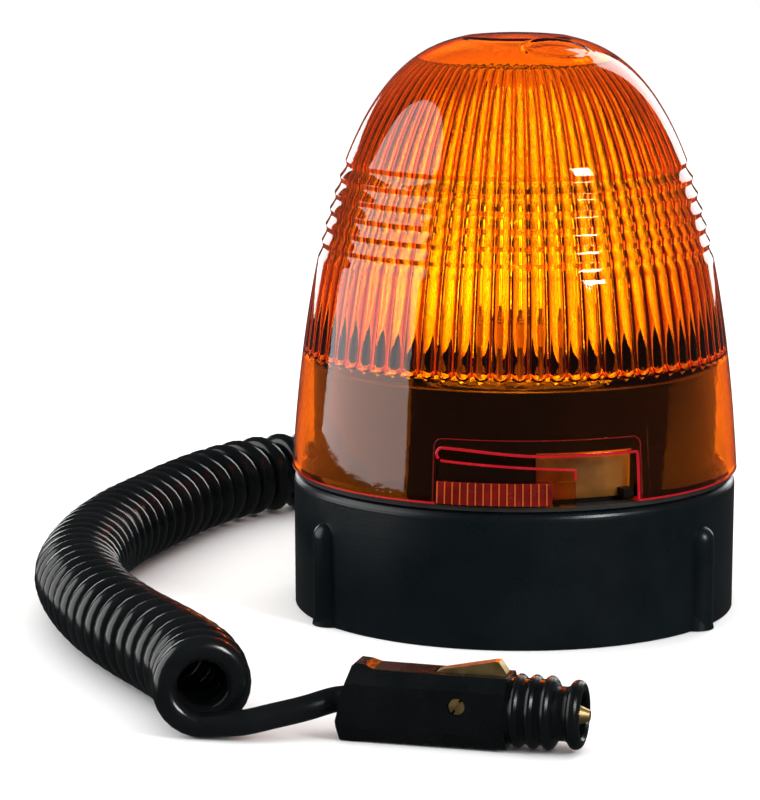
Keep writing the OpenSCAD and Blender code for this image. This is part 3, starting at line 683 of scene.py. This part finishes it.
def tongue_top(az):
    """Upper edge of the latch tongue, rounded at its root."""
    left = math.radians(az - LATCH[0]) * ARC_R
    z = 59.8 - 2.5 * (az - LATCH[0]) / (TONGUE_AZ - LATCH[0])
    if left < SLOT_R:
        z += SLOT_R - math.sqrt(max(0, SLOT_R ** 2 - (SLOT_R - left) ** 2))
    return z


tongue_az = []
for i in range(GRIP_RIBS):
    a = LATCH[0] + 0.25 + GRIP_PITCH * i
    tongue_az += [a, a + 0.13, a + 0.45, a + 0.62]
tongue_az = [a for a in tongue_az if a < GRIP_AZ + 0.3]
tongue_az += [tongue_az[-1] + 0.8 * i for i in range(1, 7)] + [TONGUE_AZ]
tongue_az = sorted({round(a, 3) for a in tongue_az + [LATCH[0] + 0.5, LATCH[0] + 1.0]
                    if a <= TONGUE_AZ})


def grip(az):
    """Height of the finger ribs above the tongue at an azimuth."""
    if az > GRIP_AZ + 0.2:
        return 0.0
    x = (az - LATCH[0] - 0.25) % GRIP_PITCH
    return 0.45 * (smooth(x, 0, 0.13) - smooth(x, 0.45, 0.6))


def tongue_point(kind, f, az):
    """A point on the tongue's outside, on its lower edge, its grip or the plain part above."""
    if kind == "edge":
        z = LENS_Z0 + f
        return cyl(az, outer_r(z) + 0.2 + grip(az) * f / EDGE, z)
    if kind == "grip":
        z = lerp(LENS_Z0, GRIP_TOP, f)
        return cyl(az, outer_r(z) + 0.2 + grip(az) * (1 if f < 1 else 0.9), z)
    z = lerp(GRIP_TOP + 0.15, tongue_top(az), f)
    return cyl(az, outer_r(z) - 0.3 - (0.25 if f == 1.0 else 0), z)


def tongue_inside(f, az):
    z = lerp(LENS_Z0, tongue_top(az), f)
    return cyl(az, outer_r(z) - WALL, z)


# Rows of points run up its outside, and others up its inside; strips of faces join them.
EDGE = 0.3
heights = [("edge", 0.0), ("edge", EDGE), ("grip", 0.35), ("grip", 0.9), ("grip", 1.0),
           ("top", 0.02), ("top", 0.35), ("top", 0.7), ("top", 0.93), ("top", 1.0)]
verts = [tongue_point(kind, f, az) for kind, f in heights for az in tongue_az]
n = len(tongue_az)
out_rows = list(range(0, len(verts), n))
verts += [tongue_inside(f, az) for f in (0.0, 0.5, 1.0) for az in tongue_az]
in_rows = list(range(len(out_rows) * n, len(verts), n))
faces = []
for a, b in [*zip(out_rows, out_rows[1:]), *zip(in_rows, in_rows[1:]),
             (out_rows[0], in_rows[0]), (out_rows[-1], in_rows[-1])]:
    faces += [(a + k, a + k + 1, b + k + 1, b + k) for k in range(n - 1)]
faces += [tuple(row + k for row in out_rows + in_rows[::-1]) for k in (0, n - 1)]
latch = mesh_piece("latch_tongue", verts, faces, "latch", amber.mat, "lens_amber", sharp=40)
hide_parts("lens_latch")


# ---------- painted glow lines along the lens's edges, and the keeper behind its opening ---

def at(az, z, proud=0.0):
    return cyl(az, outer_r(z) + proud, z)


def quarter(place):
    """Points of a quarter arc, at every 15 degrees but the first."""
    return [place(math.radians(15 * i)) for i in range(1, 7)]


slot_path = [at(LATCH[1] - 0.05, z) for z in (46.4, 50, 54, 58, 61)]
slot_path += [at(az, slot_top(az) - 0.1) for az in
              [LATCH[1] - 0.35] + [29.2 - 1.2 * i for i in range(42)]]
slot_path += [at(LATCH[0] + 1.66 * (1 - math.cos(a)), SLOT_Z - SLOT_R * math.sin(a))
              for a in (math.radians(15 * i) for i in range(-5, 4))]
# Painted glow: a red emissive line along the latch slot's edge.
tube_piece("lens_slot_glow_line", slot_path, 0.45, 10, "lens", painted_glow_red.mat, "lens_amber")

tongue_path = [at(az, tongue_top(az) + 0.15)
               for az in [-20.7] + [-20 + 1.1 * i for i in range(30)]]
tongue_path.append(at(TONGUE_AZ - 0.25, tongue_top(TONGUE_AZ) + 0.1))
tongue_path += [at(TONGUE_AZ, z) for z in (57.6, 56.4, 55.2, 54.2)]
# Painted glow along the latch tongue's upper edge.
tube_piece("latch_edge_glow_line", tongue_path, 0.4, 10, "latch", painted_glow_red.mat, "lens_amber")

pocket_path = [at(POCKET[1], z, -0.1) for z in (47, 52, 57, 61, 64.5)]
pocket_path += quarter(lambda a: at(POCKET[1] - 2.2 * (1 - math.cos(a)),
                                    64.0 + 2.8 * math.sin(a), -0.1))
pocket_path += [at(az, POCKET[2], -0.1) for az in [28 - 1.5 * i for i in range(33)]]
pocket_path += quarter(lambda a: at(POCKET[0] + 2.2 * (1 - math.sin(a)),
                                    64.0 + 2.8 * math.cos(a), -0.1))
pocket_path += [at(POCKET[0], z, -0.1) for z in (61, 57, 52, 47)]
# Painted glow, dimmer, round the recess beside the latch.
tube_piece("lens_pocket_glow_line", pocket_path, 0.16, 8, "lens", painted_glow_dim.mat, "lens_amber")

foot_path = [cyl(LATCH[1] + 0.4 + (307.4 * i / 200), LENS_R - 0.35, LENS_Z0 + 0.35)
             for i in range(201)]
# Painted glow along the lens's lower edge.
tube_piece("lens_foot_glow_line", foot_path, 0.36, 8, "lens", painted_glow_red.mat, "lens_amber")

# Painted glow lines along the crests of the finger-grip ribs.
verts, faces = [], []
for i in range(GRIP_RIBS):
    az = LATCH[0] + 0.55 + GRIP_PITCH * i
    if az < GRIP_AZ:
        join(verts, faces, *tube([at(az, z, 0.62) for z in (46.6, 49, 51.5, 53.4)], 0.2, 8))
mesh_piece("latch_rib_glow_lines", verts, faces, "latch", painted_glow_orange.mat, "lens_amber")

# Painted glow: a faint red emissive strip over the finger grip.
verts = []
glow_z = (46.4, 46.6, 49, 51.5, 53.3, 53.5)
for i in range(60):
    az = LATCH[0] + 0.2 + 0.485 * i
    verts += [at(az, z, 0.22 if z in (glow_z[0], glow_z[-1]) else 0.28) for z in glow_z]
    verts += [at(az, z, 0.16) for z in reversed(glow_z)]
faces = loft_faces(len(verts), 2 * len(glow_z))
mesh_piece("latch_grip_glow_strip", verts, faces, "latch", grip_glow.mat, "lens_amber")

# The keeper is a bronze plate just inside the opening, slightly wavy, with bevelled edges.
KEEPER_R, KEEPER_BACK, BEVEL = 67.6, 66.6, 0.25
verts = []
keeper_az = [3.5 + 0.55 * i for i in range(50)]
keeper_z = [47.2, 47.6, 50, 53, 56, 59, 61.6, 62.0]
for az in keeper_az:
    for z in keeper_z:
        edge = BEVEL if az in keeper_az[::49] or z in keeper_z[::7] else 0.0
        wave = 0.22 * math.sin(math.radians(az * 24)) * smooth(z, 49, 52) * smooth(-z, -60, -57)
        verts.append(cyl(az, KEEPER_R - edge + wave, z))
    verts += [cyl(az, KEEPER_BACK, z) for z in reversed(keeper_z)]
faces = loft_faces(len(verts), 2 * len(keeper_z))
mesh_piece("latch_keeper", verts, faces, "base", keeper.mat, "brass")


# ---------- plug screw, with a slot across its domed head ----------

PLUG_AT, PLUG_YAW = (-54, -171, 10.7), -15.5      # middle of the plug's lead end, and its turn
SCREW_S, SCREW_UP, SLOT_TURN, SLOT_HALF = 34.2, 2.1, 58, 0.36


def on_plug(s, across, up):
    """A point s along the plug from its lead end, across it and above its axis."""
    yaw = math.radians(PLUG_YAW)
    x, y = s * math.cos(yaw) - across * math.sin(yaw), s * math.sin(yaw) + across * math.cos(yaw)
    return Vector((PLUG_AT[0] + x, PLUG_AT[1] + y, PLUG_AT[2] + up))


# Each half of the head is a stack of arcs: radius, and place across the plug.
head_rows = [(2.5, -7.25), (2.5, -8.15), (2.3, -8.42), (1.7, -8.52), (0.9, -8.58)]
ARC = 17
verts, faces = [], []
for sign in (1, -1):
    first = len(verts)
    for r, across in head_rows:
        lim = math.asin(min(1, SLOT_HALF / r))
        for k in range(ARC):
            a = lerp(lim, math.pi - lim, k / (ARC - 1))
            u, v = r * math.cos(a), sign * r * math.sin(a)
            t = math.radians(SLOT_TURN)
            verts.append(on_plug(SCREW_S + u * math.cos(t) - v * math.sin(t), across,
                                 SCREW_UP + u * math.sin(t) + v * math.cos(t)))
    starts = [first + ARC * i for i in range(len(head_rows))]
    for start in starts[:-1]:
        for a in range(start, start + ARC - 1):
            faces.append((a, a + 1, a + ARC + 1, a + ARC))
    faces.append(tuple(range(starts[-1], starts[-1] + ARC)))
    faces.append(tuple(range(first, first + ARC)))
    faces.append(tuple(starts + [start + ARC - 1 for start in reversed(starts)]))
shank = [on_plug(SCREW_S, a, SCREW_UP) for a in (-7.9, -7.0, -5.0, -2.0, 1.0, 4.0, 6.6)]
join(verts, faces, *tube(shank, 1.5, 24))
screw = mesh_piece("plug_screw_detail", verts, faces, "base", brass.mat, "brass", sharp=30)
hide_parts("plug_screw")


# ---------- reflector dish ----------

LAMP_Z, DISH_F, DISH_SKIN = 119.0, 28.0, 1.2      # lamp's height, focal length, thickness
DISH_HALF, DISH_TOP = (50.0, 41.0), 52.0          # half width, depth below the lamp, height above
spokes, circles = 96, 26
verts, faces = [], []
for side in (0, 1):
    for i in range(circles + 1):
        for k in range(spokes):
            a = 2 * math.pi * k / spokes
            x = DISH_HALF[0] * math.cos(a) * i / circles
            z = (DISH_TOP if math.sin(a) > 0 else DISH_HALF[1]) * math.sin(a) * i / circles
            y = DISH_F - (x * x + z * z) / (4 * DISH_F)
            verts.append(Vector((x, y + side * DISH_SKIN, LAMP_Z + z)))
    first = side * (circles + 1) * spokes
    for i in range(1, circles):
        for k in range(spokes):
            a, b = first + i * spokes + k, first + i * spokes + (k + 1) % spokes
            faces.append((a, b, b + spokes, a + spokes))
    for k in range(spokes):
        faces.append((first, first + spokes + k, first + spokes + (k + 1) % spokes))
rim = circles * spokes
back = (circles + 1) * spokes
for k in range(spokes):
    faces.append((rim + k, rim + (k + 1) % spokes, back + rim + (k + 1) % spokes, back + rim + k))
dish = mesh_piece("reflector_mirror", verts, faces, "reflector", mirror.mat, "mirror_metal")
bm = bmesh.new()    # the middle ring's spare points go
bm.from_mesh(dish.data)
bmesh.ops.delete(bm, geom=[v for v in bm.verts if not v.link_faces], context="VERTS")
bm.to_mesh(dish.data)
bm.free()
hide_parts("reflector_dish")


# ---------- materials of the CAD nodes that stay ----------

finish = {
    "base_black": base_black, "steel": steel, "zinc_plate": zinc, "ferrite": ferrite,
    "rubber_black": rubber_black, "lead_black": lead_black, "plug_black": plug_black,
    "brass": brass, "copper": copper, "gear_nylon": nylon, "ceramic": ceramic,
    "insulator": insulator, "wire_red": wire_red, "wire_black": wire_black,
    "mirror_metal": mirror, "bulb_glass": bulb_clear, "fuse": steel, "tungsten": tungsten,
    "lens_amber": amber,
}
slot_of = {row["node"]: row["material_slot"] for row in frame["record"]["subparts"]}
for name, node in frame["nodes"].items():
    look = drum_black if name == "housing_drum" else finish[slot_of[name]]
    for s in node.material_slots:
        s.material = look.mat


# ---------- lamp, lights, floor ----------

def area(name, location, target, size, energy, colour=(1, 1, 1)):
    """A rectangular lamp facing a target; metres and watts."""
    data = bpy.data.lights.new(name, "AREA")
    data.shape, data.size, data.size_y = "RECTANGLE", size[0], size[1]
    data.energy, data.color = energy, colour
    obj = bpy.data.objects.new(name, data)
    obj.location = location
    obj.rotation_euler = (Vector(target) - Vector(location)).to_track_quat("-Z", "Y").to_euler()
    obj.visible_camera = False
    scene.collection.objects.link(obj)
    return obj


lamp_data = bpy.data.lights.new("lamp", "POINT")
lamp_data.energy, lamp_data.color, lamp_data.shadow_soft_size = 0.21, (1.0, 0.42, 0.17), 0.0015
lamp = bpy.data.objects.new("lamp", lamp_data)
scene.collection.objects.link(lamp)
lamp.parent = frame["nodes"]["bulb_filament"]
lamp.location = (0, -0.0036, LAMP_Z * MM)
lamp.visible_camera = False

# The large softbox on the left has a rounded top, which the lens mirrors.
PANEL_X = -0.78
panel_points = [(0.40, -0.02), (-0.50, -0.02)]
for i in range(17):
    a = math.pi * i / 16
    panel_points.append((-0.05 - 0.45 * math.cos(a), 0.56 + 0.42 * math.sin(a)))
panel_mesh = bpy.data.meshes.new("softbox_left")
panel_mesh.from_pydata([(PANEL_X, y, z) for y, z in panel_points], [],
                       [tuple(range(len(panel_points)))])
panel = bpy.data.objects.new("softbox_left", panel_mesh)
glow = bpy.data.materials.new("softbox_glow")
glow.use_nodes = True
glow_shader = glow.node_tree.nodes.new("ShaderNodeEmission")
glow_shader.inputs["Strength"].default_value = 2.9
glow.node_tree.links.new(glow_shader.outputs[0],
                         glow.node_tree.nodes["Material Output"].inputs["Surface"])
panel_mesh.materials.append(glow)
scene.collection.objects.link(panel)
panel.visible_camera = panel.visible_shadow = False
area("softbox_right", (0.98, -1.02, 0.72), (0, 0, 0.12), (0.34, 0.55), 14)
area("rim_left", (-0.62, 1.30, 0.17), (0, 0, 0.12), (0.40, 0.34), 1.4)
area("rim_right", (0.70, 1.25, 0.62), (0, 0, 0.12), (0.50, 1.3), 7)
warm_card = area("warm_card", (0.0, 1.6, 0.72), (0, 0, 0.18), (0.7, 1.0), 3.8, (1.0, 0.60, 0.03))
warm_card.visible_glossy = False
top_light = area("top_light", (0.0, 0.5, 1.9), (0, 0.5, 0), (7.0, 13.0), 420)
top_light.visible_glossy = False

# Two floor pieces: the front one isn't seen through the lens, or its walls would mirror it.
FLOOR_X, FLOOR_SPLIT = 9, -0.14
for name, y0, y1 in (("floor_near", FLOOR_SPLIT, 16), ("floor_front", -9, FLOOR_SPLIT)):
    floor_mesh = bpy.data.meshes.new(name)
    floor_mesh.from_pydata([(-FLOOR_X, y0, 0), (FLOOR_X, y0, 0), (FLOOR_X, y1, 0),
                            (-FLOOR_X, y1, 0)], [], [(0, 1, 2, 3)])
    floor = bpy.data.objects.new(name, floor_mesh)
    floor_mesh.materials.append(floor_mat.mat)
    floor.location.z = -0.0002    # just below the pieces that stand on it
    floor.visible_glossy = False
    floor.visible_transmission = name == "floor_near"
    scene.collection.objects.link(floor)

world = bpy.data.worlds.new("studio")
scene.world = world
world.use_nodes = True
world.node_tree.nodes["Background"].inputs["Color"].default_value = (1, 1, 1, 1)
world.node_tree.nodes["Background"].inputs["Strength"].default_value = 0.05
scene.view_settings.view_transform = "Standard"

[c * MM for c in cord_path[0]]
[tuple(c * MM for c in p) for p in cord_path]
